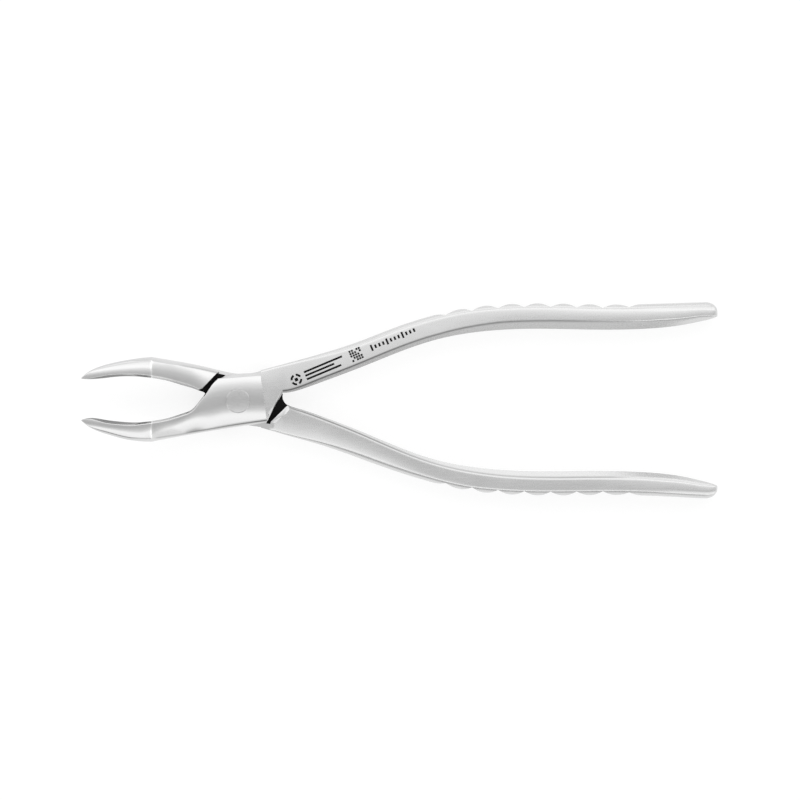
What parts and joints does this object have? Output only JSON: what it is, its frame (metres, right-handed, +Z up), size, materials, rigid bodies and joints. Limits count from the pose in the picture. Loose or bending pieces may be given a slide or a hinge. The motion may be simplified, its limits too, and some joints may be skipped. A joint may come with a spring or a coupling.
{
  "type": "dental extraction forceps",
  "caption": "Crossed pair of forged levers in a lap joint, with slender offset beaks, a bayonet bend, and long handles scalloped along the outside.",
  "frame": {"origin": "on the rivet's axis at the flat underside of the joint, which the instrument rests on", "axes": "+X along the instrument from the beaks to the handle ends, +Y across the opening, +Z up through the joint towards the side the beaks are offset to"},
  "size_m": [0.1906, 0.059, 0.0201],
  "materials": {
    "satin_steel_top": "satin ground and brushed along the lever",
    "satin_steel_bottom": "satin ground and brushed along the lever",
    "rivet_steel": "satin ground flush with the joint"
  },
  "bodies": {
    "top_lever": {"top_lever": "satin_steel_top", "pivot_rivet": "rivet_steel"},
    "bottom_lever": {"bottom_lever": "satin_steel_bottom"}
  },
  "joints": [
    {"name": "pivot", "type": "hinge", "parent": "top_lever", "child": "bottom_lever", "pos_m": [0, 0, 0.0045], "axis": [0, 0, 1], "range_deg": [-16, 14.4]}
  ]
}
